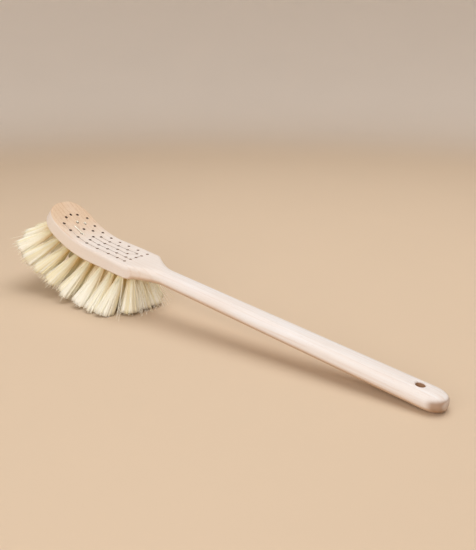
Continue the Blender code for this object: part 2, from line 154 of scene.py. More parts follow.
# A material and the nodes that feed its shader.
class Finish:
    def __init__(self, name, **constants):
        self.material = bpy.data.materials.new(name)
        self.material.use_nodes = True
        self.tree = self.material.node_tree
        self.shader = self.tree.nodes["Principled BSDF"]
        for socket, value in constants.items():
            self.shader.inputs[socket.replace("_", " ")].default_value = value

    def feed(self, socket, value):
        if isinstance(value, Wired):
            self.tree.links.new(value.socket, socket)
        else:
            socket.default_value = value

    def add(self, kind, settings, values, output=0):
        node = self.tree.nodes.new(kind)
        for name, value in settings.items():
            setattr(node, name, value)
        for name, value in values.items():
            self.feed(node.inputs[name], value)
        return Wired(self, node.outputs[output])

    def between(self, value, low, high, toLow=0.0, toHigh=1.0):
        return self.add("ShaderNodeMapRange", {"interpolation_type": "SMOOTHSTEP"},
                        {"Value": value, "From Min": low, "From Max": high,
                         "To Min": toLow, "To Max": toHigh})

    # The mixing node has sockets of one name for each kind of value: 6, 7 and 2 are for colours.
    def mix(self, share, first, second):
        first, second = (value if isinstance(value, Wired) else (*value, 1.0)
                         for value in (first, second))
        return self.add("ShaderNodeMix", {"data_type": "RGBA"}, {0: share, 6: first, 7: second}, 2)

    def noise(self, place, scale, detail, rough):
        return self.add("ShaderNodeTexNoise", {}, {"Vector": place, "Scale": scale, "Detail": detail,
                                                   "Roughness": rough})

    def grain(self, place, scales, detail, rough):
        stretched = self.add("ShaderNodeMapping", {}, {"Vector": place, "Scale": scales})
        return self.noise(stretched, 1.0, detail, rough)

    def split(self, vector):
        node = self.add("ShaderNodeSeparateXYZ", {}, {0: vector}).socket.node
        return [Wired(self, socket) for socket in node.outputs]

    def coordinates(self, kind):
        return self.add("ShaderNodeTexCoord", {}, {}, kind)

    def attribute(self, name):
        return self.add("ShaderNodeAttribute", {"attribute_name": name}, {}, 2)

    def bump(self, strength, distance, height):
        return self.add("ShaderNodeBump", {}, {"Strength": strength, "Distance": distance,
                                               "Height": height})

    def show(self, **wires):
        for socket, value in wires.items():
            self.feed(self.shader.inputs[socket.replace("_", " ")], value)
        return self.material


# Wood: pale birch, long grain, tan where the curved nose cuts across it

birchLook = {
    "pale": (0.835, 0.808, 0.800),
    "warm": (0.805, 0.735, 0.690),
    "headWarm": (0.790, 0.680, 0.585), "headShare": 0.42,
    "line": (0.600, 0.425, 0.320), "lineShare": 0.24, "fineShare": 0.16,
    "noseTan": (0.720, 0.545, 0.380),
    "noseLine": (0.540, 0.330, 0.200), "noseLineShare": 0.72, "noseFineShare": 0.55,
    "noseFrom": -0.055,          # x at which the top starts to turn tan
    "noseTo": -0.102,
    "sideShadeTan": (0.850, 0.765, 0.680), "sideShadeShare": 0.60,
    "sideFrom": -0.010,          # painted shade: the head's sides are made a little browner than the top and the handle
    "sideTo": -0.085,
    # painted shade on the undersides, a warm tan as from the floor
    "underShadeTan": (0.560, 0.365, 0.215), "underHeadShadeShare": 0.60, "underGripShadeShare": 0.85,
    "endGrainAndShade": (0.330, 0.190, 0.105), "endShare": 0.85,
    "endFrom": 0.2750, "endReach": 0.0120,      # end grain and painted shade on the rounded end
    "pore": (0.420, 0.280, 0.190), "poreShare": 0.35,
    "speck": (0.2120, 0.0051, 0.0), "speckRadius": 0.0009, "speckShare": 0.60,
    "streakLength": 0.070,       # of the broad grain streaks
    "streakWidth": 0.0024,
    "blotches": (14, 45, 45), "wander": (9, 60, 60), "pores": (260, 5200, 5200),     # in a metre
    "ringGap": 0.0042,           # between growth lines
    "ringWander": 1.3,           # how far they stray, in gaps
    "pith": (-0.400, -0.030),    # where the growth rings are centred, beside and below
}


def birchFinish():
    look = birchLook
    f = Finish("paleBirch", Roughness=0.58, IOR=1.45)
    level = f.add("ShaderNodeMapping", {"vector_type": "TEXTURE"}, {
        "Vector": f.coordinates("Object"), "Location": resting["place"],
        "Rotation": (0, resting["tilt"], 0)})
    x, y, z = f.split(level)
    endwise, facing = f.split(f.coordinates("Normal"))[::2]

    long = 1 / look["streakLength"]
    wide = 1 / look["streakWidth"]
    streaks = f.grain(level, (long, wide, wide), 3.0, 0.6)
    fine = f.grain(level, (long * 3, wide * 5, wide * 5), 3.0, 0.65)
    blotch = f.grain(level, look["blotches"], 2.0, 0.5)
    wander = f.grain(level, look["wander"], 2.0, 0.5)
    dash = f.grain(level, look["pores"], 1.0, 0.5)
    pore = f.between(dash, 0.69, 0.76)

    reach = ((y - look["pith"][0]) ** 2 + (z - look["pith"][1]) ** 2) ** 0.5
    ring = f.add("ShaderNodeMath", {"operation": "PINGPONG"}, {
        0: reach / look["ringGap"] + wander * look["ringWander"], 1: 0.5}) * 2
    line = f.between(ring, 0.62, 1.0) * f.between(streaks, 0.35, 0.7, 0.25, 1.0)

    body = f.mix(f.between(streaks * 0.6 + blotch * 0.4, 0.34, 0.66), look["pale"], look["warm"])
    body = f.mix(f.between(x, 0.070, 0.0) * look["headShare"], body, look["headWarm"])
    body = f.mix(line * look["lineShare"], body, look["line"])
    body = f.mix(f.between(fine, 0.55, 0.8) * look["fineShare"], body, look["line"])

    # the curved nose, painted shade on the head's sides and the underside, and the rounded end with its
    # painted shade
    tan = f.mix(line * look["noseLineShare"], look["noseTan"], look["noseLine"])
    tan = f.mix(f.between(fine, 0.40, 0.70) * look["noseFineShare"], tan, look["noseLine"])
    nose = f.between(x, look["noseFrom"], look["noseTo"]) * f.between(facing, 0.35, 0.75)
    body = f.mix(nose * f.between(blotch + streaks * 0.3, 0.3, 0.75, 0.75, 1.0), body, tan)
    # painted shade on the head's sides and lower faces, darker than its top
    side = f.between(x, look["sideFrom"], look["sideTo"]) * f.between(facing, 0.55, 0.10)
    body = f.mix(side * look["sideShadeShare"], body, look["sideShadeTan"])
    # painted shade: faces turned down go darker tan, more under the grip than under the head
    belowShade = f.between(x, -0.02, 0.05, look["underHeadShadeShare"], look["underGripShadeShare"])
    body = f.mix(f.between(facing, 0.10, -0.65) * belowShade, body, look["underShadeTan"])
    # the rounded end: its end grain, and painted shade on its near, lower flank, lighter again at the very
    # tip
    end = f.between(x, look["endFrom"], look["endFrom"] + look["endReach"])
    end = end * f.between(endwise, 0.05, 0.45) * f.between(endwise, 1.0, 0.80, 0.45, 1.0)
    body = f.mix(end * f.between(facing, 0.90, 0.30) * look["endShare"], body, look["endGrainAndShade"])

    speck = f.add("ShaderNodeVectorMath", {"operation": "DISTANCE"}, {0: level, 1: look["speck"]}, 1)
    speck = f.between(speck + fine * 0.0006, look["speckRadius"], 0.0004)
    body = f.mix(speck * look["speckShare"], body, look["pore"])
    body = f.mix(pore * look["poreShare"], body, look["pore"])
    relief = streaks * 0.25 + fine * 0.35 + line * 0.2 - pore * 0.8
    return f.show(Base_Color=body, Normal=f.bump(0.25, 0.00025, relief),
                  Roughness=f.between(fine + blotch * 0.5, 0.4, 1.0, 0.50, 0.68))


# The walls of the holes, painted dark as shade: darkest in the small ones at the nose, lighter in the
# hanging hole, with a mottle.
boreShadeLook = {
    "nose": (0.100, 0.045, 0.022),
    "rear": (0.330, 0.160, 0.085),
    "hanging": (0.560, 0.330, 0.190),
    "char": (0.420, 0.280, 0.190), "charShare": 0.40,
}


def boreShadeFinish():
    look = boreShadeLook
    f = Finish("drilledBirchShade", Roughness=0.8, IOR=1.45)
    spot = f.coordinates("Object")
    char = f.noise(spot, 1400.0, 3.0, 0.6)
    x = f.split(spot)[0]
    # painted shade in the bores, darkest at the nose, lighter in the hanging hole
    shadedWall = f.mix(f.between(x, -0.09, -0.15), look["rear"], look["nose"])
    shadedWall = f.mix(f.between(x, 0.0, 0.10), shadedWall, look["hanging"])
    shadedWall = f.mix(f.between(char, 0.35, 0.65) * look["charShare"], shadedWall, look["char"])
    return f.show(Base_Color=shadedWall, Normal=f.bump(0.3, 0.0001, char))


# Head and handle, one piece of wood

body = {
    "headFlat": 0.0510, "curveRadius": 0.1080, "curveLength": 0.0735, "noseRound": 0.0230,
    "headThick": 0.0155, "shoulderThick": 0.0124, "thickReach": 0.1100, "thickLaw": 1.15,
    "noseHalf": 0.0212, "waistHalf": 0.0204, "shoulderHalf": 0.0222, "waistReach": 0.0550,
    "widthLaw": 1.2, "noseLaw": 2.2, "edgeRadius": 0.0022, "shoulderRound": 0.0045,
    "heelStart": 0.0008, "heelLength": 0.0045, "lowerRounding": 0.0058,
    "neckLength": 0.0310, "neckHalf": 0.0097, "neckThick": 0.0120, "neckBelly": 0.0010,
    "neckLaw": 1.85, "handleLength": 0.2935, "endHalf": 0.0116, "endThick": 0.0138,
    "endRound": 0.0130,
    "shoulderEasing": 0.0038, "easingReach": 0.0260,      # the softer top edge at the shoulder
    "cornerSteps": 9, "acrossSteps": 12, "sideSteps": 4, "noseSteps": 15, "curveSteps": 22,
    "flatSteps": 18, "shoulderSteps": 8, "heelSteps": 8, "neckSteps": 16, "handleSteps": 14,
    "endSteps": 14,
    "noseSweep": math.radians(88), "noseCrowding": 1.25, "endSweep": math.radians(87),
    "endLaw": 0.9, "endThickLaw": 0.5, "smoothAngle": math.radians(32),
    "cornerWidest": 0.9, "cornerHighest": 0.96, "gripCorner": 0.80,      # shares of half a section
}
headLength = body["headFlat"] + body["curveLength"]


def topAt(distance):
    if distance <= body["headFlat"]:
        return Vector((-distance, 0, 0)), 0.0
    slope = (distance - body["headFlat"]) / body["curveRadius"]
    return Vector((-body["headFlat"] - body["curveRadius"] * math.sin(slope), 0,
                   body["curveRadius"] * (1 - math.cos(slope)))), slope


def thicknessAt(distance):
    share = min(max(distance / body["thickReach"], 0.0), 1.0)
    thinner = (body["headThick"] - body["shoulderThick"]) * (1 - share) ** body["thickLaw"]
    return body["headThick"] - thinner


def headHalfWidth(distance):
    waist, law = body["waistReach"], body["widthLaw"]
    if distance < waist:
        return blend(body["waistHalf"], body["shoulderHalf"], ((waist - distance) / waist) ** law)
    reach = headLength - body["noseRound"] - waist
    return blend(body["waistHalf"], body["noseHalf"], min((distance - waist) / reach, 1.0) ** law)


# A cross-section as (y, z) from its middle: elliptical corners joined by divided flats.
def sectionOutline(halfWidth, halfHeight, upper, lower):
    points = []
    for quarter in range(4):
        side = 1 if quarter in (0, 3) else -1
        top = 1 if quarter in (0, 1) else -1
        cornerWidth, cornerHeight = upper if top > 0 else lower
        for step in range(body["cornerSteps"] + 1):
            angle = math.pi / 2 * (quarter + step / body["cornerSteps"])
            points.append((side * (halfWidth - cornerWidth) + cornerWidth * math.cos(angle),
                           top * (halfHeight - cornerHeight) + cornerHeight * math.sin(angle)))
        steps = body["sideSteps"] if quarter % 2 else body["acrossSteps"]
        here = points[-1]
        nextWidth, nextHeight = lower if quarter in (1, 2) else upper
        there = ((here[0], -(halfHeight - nextHeight)) if quarter == 1 else
                 (here[0], halfHeight - nextHeight) if quarter == 3 else (-here[0], here[1]))
        for step in range(1, steps):
            points.append((blend(here[0], there[0], step / steps), blend(here[1], there[1], step / steps)))
    return points


# Middle of the top, slope, half width, thickness, inset, turn into the grip, lower edge's turn.
def bodyStations():
    stations = []
    start = headLength - body["noseRound"]
    edge = body["edgeRadius"]
    for step in range(body["noseSteps"] + 1):
        angle = body["noseSweep"] * (1 - step / body["noseSteps"]) ** body["noseCrowding"]
        distance = start + body["noseRound"] * math.sin(angle) ** (2 / body["noseLaw"])
        width = body["noseHalf"] * math.cos(angle) ** (2 / body["noseLaw"])
        nearTip = max(edge - (headLength - distance), 0.0)
        inset = edge - math.sqrt(max(edge ** 2 - nearTip ** 2, 0.0))
        stations.append((*topAt(distance), width, thicknessAt(distance), inset, 0.0, 0.0))
    neckTurn = math.atan2((body["shoulderHalf"] - body["neckHalf"]) * body["neckLaw"], body["neckLength"])
    roundReach = body["shoulderRound"] * math.sin(neckTurn)
    for count, near, far in ((body["curveSteps"], start, body["headFlat"]),
                             (body["flatSteps"], body["headFlat"], roundReach)):
        for step in range(1, count + 1):
            distance = blend(near, far, step / count)
            stations.append((*topAt(distance), headHalfWidth(distance), thicknessAt(distance),
                             0.0, 0.0, 0.0))
    for step in range(1, body["shoulderSteps"] + 1):
        angle = neckTurn * step / body["shoulderSteps"]
        distance = roundReach - body["shoulderRound"] * math.sin(angle)
        cornerDrop = body["shoulderRound"] * (1 - math.cos(angle))
        stations.append((*topAt(distance), headHalfWidth(distance) - cornerDrop, thicknessAt(distance),
                         0.0, 0.0, 0.0))
    drop = body["shoulderHalf"] - cornerDrop - body["neckHalf"]
    heelEnd = body["heelStart"] + body["heelLength"]
    reaches = [blend(body["heelStart"], heelEnd, step / body["heelSteps"])
               for step in range(body["heelSteps"] + 1)]
    reaches += [blend(heelEnd, body["neckLength"], step / body["neckSteps"])
                for step in range(1, body["neckSteps"] + 1)]
    for x in reaches:
        share = x / body["neckLength"]
        thick = blend(body["shoulderThick"], body["neckThick"], ease(share))
        thick += body["neckBelly"] * math.sin(math.pi * share)
        stations.append((Vector((x, 0, 0)), 0.0, body["neckHalf"] + drop * (1 - share) ** body["neckLaw"],
                         thick, 0.0, ease(share), ease((x - body["heelStart"]) / body["heelLength"])))
    endStart = body["handleLength"] - body["endRound"]
    for step in range(1, body["handleSteps"] + 1):
        share = step / body["handleSteps"]
        stations.append((Vector((blend(body["neckLength"], endStart, share), 0, 0)), 0.0,
                         blend(body["neckHalf"], body["endHalf"], share),
                         blend(body["neckThick"], body["endThick"], share), 0.0, 1.0, 1.0))
    for step in range(1, body["endSteps"] + 1):
        angle = body["endSweep"] * step / body["endSteps"]
        stations.append((Vector((endStart + body["endRound"] * math.sin(angle), 0, 0)), 0.0,
                         body["endHalf"] * math.cos(angle) ** body["endLaw"], body["endThick"],
                         body["endThick"] / 2 * (1 - math.cos(angle) ** body["endThickLaw"]), 1.0, 1.0))
    return stations


# The blank, from station to station, from the nose to the handle's end.
def woodBlank():
    edge = body["edgeRadius"]
    rings = []
    for point, slope, halfWidth, thick, inset, turn, lowerTurn in bodyStations():
        halfHeight = thick / 2 - inset
        widest, highest = halfWidth * body["cornerWidest"], halfHeight * body["cornerHighest"]
        corners = [(blend(min(radius, widest), halfWidth * body["gripCorner"], turn),
                    blend(min(radius, highest), highest, turn))
                   for radius in (blend(edge, body["shoulderEasing"],
                                        ease(1 - abs(point.x) / body["easingReach"])),
                                  blend(edge, body["lowerRounding"], lowerTurn))]
        outline = sectionOutline(halfWidth, halfHeight, *corners)
        up = Vector((math.sin(slope), 0, math.cos(slope)))
        rings.append([point + Vector((0, across, 0)) + up * (level - thick / 2)
                      for across, level in outline])
    return extruded(rings)


# Where the tufts are drawn in

pattern = {
    "outerRows": 0.0136, "innerRows": 0.0066, "rearRow": 0.0100, "noseMargin": 0.01736,
    "noseCentre": 0.0088, "noseSide": 0.0066, "noseSideShare": 0.78,
    "centreStart": 0.0118, "centreGap": 0.01124,
    "nearShares": (0.0, 0.112, 0.249, 0.426, 0.599, 0.746, 0.881, 1.0),
    "centreShares": (0.0, 0.181, 0.426, 0.656, 0.853, 1.0),
    "longCount": 8, "nearCount": 6, "farCount": 7,
    "rearRowLean": math.radians(-12), "rearLean": math.radians(7), "frontLean": math.radians(57),
    "outerSplay": math.radians(24), "drilledSplay": math.radians(4),
    "rearFibre": 0.0390, "frontFibre": 0.0440,
    "standingTilt": math.radians(6.86), "standingHeight": 0.0463,    # the plane it stands on
    "wireHole": 0.0011, "tuftHole": 0.0027, "wireHoleDepth": 0.0045, "drillPoint": 0.0007,
    "foldDepth": 0.0076,
}
frontDistance = headLength - pattern["noseMargin"]
holePitch = (frontDistance - pattern["noseCentre"] - pattern["rearRow"]) / (pattern["longCount"] - 1)
centreLength = frontDistance - pattern["centreGap"] - pattern["centreStart"] - pattern["rearRow"]


def tuftPlaces():
    rear, pitch = pattern["rearRow"], holePitch
    front = rear + pitch * (pattern["longCount"] - 1)
    outer, inner, side = pattern["outerRows"], pattern["innerRows"], pattern["noseSide"]
    ring = [(blend(rear, front, share), -outer) for share in pattern["nearShares"]]
    ahead = pattern["noseCentre"]
    beside = front + ahead * pattern["noseSideShare"]
    ring += [(beside, -side), (front + ahead, 0.0), (beside, side)]
    ring += [(rear + pitch * step, outer) for step in reversed(range(pattern["longCount"]))]
    ring += [(rear, inner), (rear, 0.0), (rear, -inner)]
    places = [("tuft_outer_%02d" % (index + 1), *place) for index, place in enumerate(ring)]
    half = rear + pitch / 2
    places += [("tuft_near_row_%d" % (step + 1), half + pitch * step, -inner)
               for step in range(pattern["nearCount"])]
    centre = [("tuft_centre_row_%d" % (step + 1), rear + pattern["centreStart"] + centreLength * share,
               0.0) for step, share in enumerate(pattern["centreShares"])]
    far = [("tuft_far_row_%d" % (step + 1), half + pitch * step, inner)
           for step in range(pattern["farCount"])]
    return places + centre[-1:] + far[::-1] + centre[:-1]


# How far along the top a point in the wood lies, and how deep below it.
def underTheTop(point):
    if point.x >= -body["headFlat"]:
        return -point.x, -point.z
    across, down = point.x + body["headFlat"], point.z - body["curveRadius"]
    slope = math.atan2(-across, -down)
    return body["headFlat"] + body["curveRadius"] * slope, math.hypot(across, down) - body["curveRadius"]


# How deep the underside lies. Level takes the head as equally thick all along, for the trim.
def depthToUnderside(start, direction, level=False):
    inside, outside = 0.0, body["headThick"] * 3
    for step in range(40):
        depth = (inside + outside) / 2
        distance, below = underTheTop(start + direction * depth)
        if below < (body["headThick"] if level else thicknessAt(distance)):
            inside = depth
        else:
            outside = depth
    return inside


def heightTilted(point):
    tilt = pattern["standingTilt"]
    return point.z * math.cos(tilt) - point.x * math.sin(tilt)


# Each tuft's frame has +Z out of the top of its hole and +X along the stitch.
def tuftFrames():
    places = tuftPlaces()
    points = [topAt(distance)[0] + Vector((0, across, 0)) for name, distance, across in places]
    found = []
    for index, (name, distance, across) in enumerate(places):
        share = (distance - pattern["rearRow"]) / (frontDistance - pattern["rearRow"])
        side = across / pattern["outerRows"]
        lean = (pattern["rearRowLean"] if share == 0 and abs(side) < 1 else
                blend(pattern["rearLean"], pattern["frontLean"], share))
        sideways = (math.tan(pattern["drilledSplay"]) * side, math.tan(pattern["outerSplay"] * side))
        down, outward = (Vector((-math.sin(lean), aside, -math.cos(lean))).normalized()
                         for aside in sideways)
        here = points[index]
        stitch = Vector((0, 0, 0))
        for step in (here - points[max(index - 1, 0)], points[min(index + 1, len(points) - 1)] - here):
            if step.length > 0:
                stitch += step.normalized()
        up = -down
        stitch = (stitch - up * stitch.dot(up)).normalized()
        turn = Matrix((stitch, up.cross(stitch), up)).transposed()
        mouth = depthToUnderside(here, down)
        length = (blend(pattern["rearFibre"], pattern["frontFibre"], share) - mouth
                  + depthToUnderside(here, down, level=True))
        above = pattern["standingHeight"] + heightTilted(here + down * mouth)
        length = min(length, above / -heightTilted(outward))
        found.append({"name": name, "place": Matrix.Translation(here) @ turn.to_4x4(), "share": share,
                      "mouth": mouth, "side": side, "distance": distance, "length": length,
                      "outward": turn.transposed() @ outward, "slope": topAt(distance)[1]})
    return found


frames = tuftFrames()


# Drilling

drilling = {
    "wornRadius": 0.00135, "wornDepth": 0.0014,      # the small holes' mouths
    "above": 0.0030, "throughShare": 1.35, "past": 0.0020, "sides": 20,
    "hangRadius": 0.0035, "hangSetback": 0.0210, "hangRim": 0.0011, "hangSides": 48,
    "rimAngles": (80, 60, 40, 20, 0), "flare": (3, 1.5),     # out and up from the rim, in rims
}


# A turned cutter: a profile of (radius, height) spun round Z.
def turnedCutter(profile, sides):
    turns = [math.tau * index / sides for index in range(sides)]
    return extruded([[(radius * math.cos(turn), radius * math.sin(turn), height) for turn in turns]
                     for radius, height in profile])


def drill(wood, shadedBore):
    small, wide = pattern["wireHole"], pattern["tuftHole"]
    step = -pattern["wireHoleDepth"]
    bottom = -(body["headThick"] * drilling["throughShare"] + drilling["past"])
    worn, wornDepth = drilling["wornRadius"], drilling["wornDepth"]
    master = turnedCutter([(worn, drilling["above"]), (worn, -wornDepth / 2), (small, -wornDepth),
                           (small, step), (wide, step - pattern["drillPoint"]), (wide, bottom)],
                          drilling["sides"])
    bits = []
    for item in frames:
        pick(master)
        bpy.ops.object.duplicate()
        bit = bpy.context.object
        bit.data.transform(item["place"])
        bits.append(bit)
    remove(master)
    cutter = join(bits, "tuftDrills")
    cutter.data.materials.append(shadedBore)
    thick = body["endThick"]
    rim = drilling["hangRim"]
    radius = drilling["hangRadius"]
    rounding = [(radius + rim * (1 - math.cos(turn)), -rim * (1 - math.sin(turn)))
                for turn in (math.radians(angle) for angle in drilling["rimAngles"])]
    profile = [(radius + rim * drilling["flare"][0], rim * drilling["flare"][1])] + rounding
    profile += [(r, -thick - z) for r, z in reversed(profile)]
    hole = turnedCutter(profile, drilling["hangSides"])
    hole.data.transform(Matrix.Translation((body["handleLength"] - drilling["hangSetback"], 0, 0)))
    hole.data.materials.append(wood.data.materials[0])
    hole.data.materials.append(shadedBore)
    for face in hole.data.polygons:
        if -thick + rim < face.center.z < -rim:
            face.material_index = 1
    for tool in (cutter, hole):
        cut = wood.modifiers.new("drilled", "BOOLEAN")
        cut.operation, cut.solver, cut.material_mode = "DIFFERENCE", "EXACT", "TRANSFER"
        cut.object = tool
        applyModifiers(wood)
        remove(tool)
    pick(wood)
    bpy.ops.object.shade_smooth_by_angle(angle=body["smoothAngle"])
    return wood


blank = woodBlank()
blank.data.materials.append(birchFinish())
wood = settle(drill(blank, boreShadeFinish()), "birchHeadAndHandle", ["head_and_handle"])
print("wood drilled:", len(wood.data.polygons), "faces,", len(wood.data.materials), "finishes")


# Fibre: one strand modelled once and bent into every tuft

fibreLook = {
    "root": (0.860, 0.780, 0.430), "mottleShare": 0.20,
    "middle": (0.965, 0.955, 0.835),
    "tip": (0.970, 0.960, 0.885),
    "dull": (0.850, 0.750, 0.430), "dullShare": 0.65,
    "paintedShade": (0.580, 0.380, 0.130), "paintedShadeShare": 0.85,     # painted shade where a tuft faces into the brush
    "endShare": 0.30,            # dots of the same painted shade on the cut ends
    "glow": (0.850, 0.480, 0.100), "tipGlow": (1.000, 0.840, 0.480),
    "glowStrength": 0.11,        # of the painted glow, which stands in for the light that comes through the fibres
}

tuft = {
    "fibres": 150, "inside": 0.7, "skin": (0.98, 1.01), "fibreRadius": 0.00013, "segments": 6,
    "packRadius": 0.00235, "rearTips": 0.0097, "frontTips": 0.0087, "tipTaper": 0.3,
    "locks": 12, "lockSpread": 0.95, "lockSway": 0.3, "lockShift": 0.10, "lockShort": (-0.04, 0.03),
    "lockTurn": 2.39996,         # the golden angle, which spreads the locks evenly
    "gather": 0.25, "gathered": (0.5, 1.2),     # how far fibres lean to the nearest lock
    "shortest": 0.14, "longer": 0.0006, "wave": 0.0004, "waves": (2.0, 5.5), "swell": (0.8, 1.15),
    "strays": 7, "strayReach": 0.0040, "strayRadius": 0.00017, "strayLonger": 0.03,
    "wisps": 18, "wispReach": 0.0110,    # on the rear row, blown back towards the handle
    "wispWay": (1.0, 0.0, 0.3),
    "rootSqueeze": (0.35, 0.8), "rootRise": 0.0012,      # in the fold over the wire
    "cutAbove": 0.0003,          # clear of the floor
}

core = {
    "sides": 96, "rings": 9, "widthShare": 0.96, "lengthShare": 0.99, "ruffle": 0.06,
    "locks": 13, "foldDepth": 0.20, "ragged": 0.05, "lockRagged": 0.08, "rearRagged": 0.3,
    "hollow": 0.25, "hollowDepth": 0.92, "sunk": 0.15, "alongFrom": 0.18,
    "fold": {-2: 0.3, -1: 0.75, 0: 1.0, 1: 0.75, 2: 0.3},       # depth from side to side of a fold
}

seeds = {"fibres": 100, "cores": 500, "drawnUp": 900, "wire": 7}


def tipRadius(item):
    return blend(tuft["rearTips"], tuft["frontTips"], item["share"])


def fibreFinish():
    look = fibreLook
    f = Finish("tampicoFibre", Roughness=0.55, IOR=1.45, Emission_Strength=look["glowStrength"])
    along, tone, deep = (f.attribute(name) for name in ("along", "tone", "deep"))
    spot = f.coordinates("Object")
    mottle = f.noise(spot, 900.0, 2.0, 0.6)
    colour = f.mix(f.between(along, 0.05, 0.50), look["root"], look["middle"])
    colour = f.mix(f.between(along, 0.35, 1.0), colour, look["tip"])
    colour = f.mix(f.between(tone, 0.40, 0.85) * look["dullShare"], colour, look["dull"])
    colour = f.mix(f.between(mottle, 0.45, 0.75) * look["mottleShare"], colour, look["root"])
    # dots of painted shade on the cut ends, between the fibre ends
    cutEnds = f.between(f.noise(spot, 2600.0, 1.0, 0.5), 0.50, 0.60) * f.between(along, 0.88, 0.97)
    colour = f.mix(cutEnds * look["endShare"], colour, look["paintedShade"])
    # painted shade on the sides of the tufts that face into the brush, deepest at the roots
    colour = f.mix(deep * f.between(along, 0.85, 0.15) * look["paintedShadeShare"], colour, look["paintedShade"])
    # painted glow: emission on the sides that face into the brush, in place of light scattered through the
    # fibres
    glow = f.mix(f.between(along, 0.45, 0.90), look["glow"], look["tipGlow"])
    glow = f.mix(deep * f.between(along, 1.20, 0.30), (0.0, 0.0, 0.0), glow)
    return f.show(Base_Color=colour, Emission_Color=glow, Normal=f.bump(0.2, 0.0001, mottle),
                  Roughness=f.between(tone, 0.0, 1.0, 0.45, 0.65))


# One strand, a unit long down -Z and a unit thick, with three sides and rings along it.
def strandMaster():
    deselectAll()
    bpy.ops.mesh.primitive_circle_add(vertices=3, radius=1.0, fill_type="NGON")
    strand = bpy.context.object
    bpy.ops.object.mode_set(mode="EDIT")
    for step in range(tuft["segments"]):
        bpy.ops.mesh.extrude_region_move(TRANSFORM_OT_translate={"value": (0, 0, -1 / tuft["segments"])})
    bpy.ops.mesh.select_all(action="SELECT")
    bpy.ops.mesh.normals_make_consistent(inside=False)
    bpy.ops.object.mode_set(mode="OBJECT")
    corners = np.array([tuple(vert.co) for vert in strand.data.vertices])
    faces = [tuple(face.vertices) for face in strand.data.polygons]
    remove(strand)
    return corners, faces


strandCorners, strandFaces = strandMaster()


# What the fibres' finish reads at each point of a mesh.
def mark(mesh, **marks):
    for name, values in marks.items():
        mesh.attributes.new(name, "FLOAT", "POINT").data.foreach_set("value", np.float32(values))


# Bends copies of the strand along their paths, each a list of four Bezier points.
def bundle(name, paths, radii, tones, inwardShades, wave, chance):
    paths = np.array(paths)
    share = -strandCorners[:, 2]
    count, corners = len(paths), len(strandCorners)
    weights = np.stack([(1 - share) ** 3, 3 * share * (1 - share) ** 2,
                        3 * share ** 2 * (1 - share), share ** 3], axis=1)
    slopes = np.stack([-3 * (1 - share) ** 2, 3 * (1 - share) * (1 - 3 * share),
                       3 * share * (2 - 3 * share), 3 * share ** 2], axis=1)
    middle = np.einsum("cw,fwk->fck", weights, paths)
    along = np.einsum("cw,fwk->fck", slopes, paths)
    along /= np.linalg.norm(along, axis=2, keepdims=True)
    first = np.cross(along, [[0.31, 0.95, 0.0]])     # a direction that no strand runs along
    first /= np.linalg.norm(first, axis=2, keepdims=True)
    second = np.cross(along, first)
    phase = np.array([[chance.uniform(0, math.tau), chance.uniform(*tuft["waves"])]
                      for _ in range(count)])
    turn = np.array([chance.uniform(0, math.tau) for _ in range(count)])[:, None]
    sway = wave * np.sin(phase[:, :1] + phase[:, 1:] * share[None, :] * 2) * share[None, :]
    middle += first * (sway * np.cos(turn))[:, :, None] + second * (sway * np.sin(turn))[:, :, None]
    radii = np.array(radii)[:, None] * (1 - tuft["tipTaper"] * share[None, :] ** 3)
    spin = np.array([chance.uniform(0, math.tau) for _ in range(count)])[:, None]
    flatX = strandCorners[:, 0][None, :] * np.cos(spin) - strandCorners[:, 1][None, :] * np.sin(spin)
    flatY = strandCorners[:, 0][None, :] * np.sin(spin) + strandCorners[:, 1][None, :] * np.cos(spin)
    points = middle + first * (flatX * radii)[:, :, None] + second * (flatY * radii)[:, :, None]
    mesh = bpy.data.meshes.new(name)
    faces = [tuple(index + number * corners for index in face)
             for number in range(count) for face in strandFaces]
    mesh.from_pydata(points.reshape(-1, 3).tolist(), [], faces)
    mark(mesh, along=np.tile(share, count), tone=np.repeat(tones, corners), deep=np.repeat(inwardShades, corners))
    mesh.update()
    return mesh


def fibrePiece(mesh, material):
    mesh.materials.append(material)
    return newObject(mesh.name, mesh)


# How far out each side of a tuft's packed middle reaches, where it ends, and its tone.
def tuftProfile(number):
    chance = random.Random(seeds["cores"] + number)
    sides = core["sides"]
    edges = sorted(chance.sample(range(sides), core["locks"]))
    lockOf = [sum(edge <= side for edge in edges) % len(edges) for side in range(sides)]
    lockEnds = [chance.random() * core["lockRagged"] for _ in edges]
    lockTones = [chance.random() for _ in edges]
    folds = [0.0] * sides
    for edge in edges:
        deep = core["foldDepth"] * chance.uniform(0.25, 1.0)
        for offset, share in core["fold"].items():
            folds[(edge + offset) % sides] = max(folds[(edge + offset) % sides], deep * share)
    widths = [core["widthShare"] * (1 - core["ruffle"] * chance.random()) * (1 - fold) for fold in folds]
    uneven = blend(core["rearRagged"], 1.0, min(frames[number]["share"] * 3, 1.0))
    ends = [core["lengthShare"] * (1 - uneven * (core["ragged"] * chance.random() + lockEnds[lock]))
            for lock in lockOf]
    tones = [0.5 * chance.random() + 0.5 * lockTones[lock] for lock in lockOf]
    return {"widths": widths, "ends": ends, "tones": tones}


# How much one side of a tuft faces into the brush, from 0 round the outside to 1 at the heart.
def facingIn(item, turn, reach):
    here = item["place"].translation
    front, rear = (topAt(distance)[0].x for distance in
                   (frontDistance - pattern["outerRows"], pattern["rearRow"] + pattern["outerRows"]))
    away = Vector((here.x - min(max(here.x, front), rear), here.y, 0)) / pattern["outerRows"]
    side = item["place"].to_3x3() @ Vector((math.cos(turn), math.sin(turn), 0))
    return min(max(1 - reach * side.dot(away), 0.0), 1.0)


# A fibre's tip in its tuft's frame, cut where the fibre would meet the floor.
def trimmed(item, base, tip):
    high, low = ((setDown @ (item["place"] @ Vector(point))).z - tuft["cutAbove"]
                 for point in (base, tip))
    return tip if low > 0 else blend(base, tip, high / (high - low))


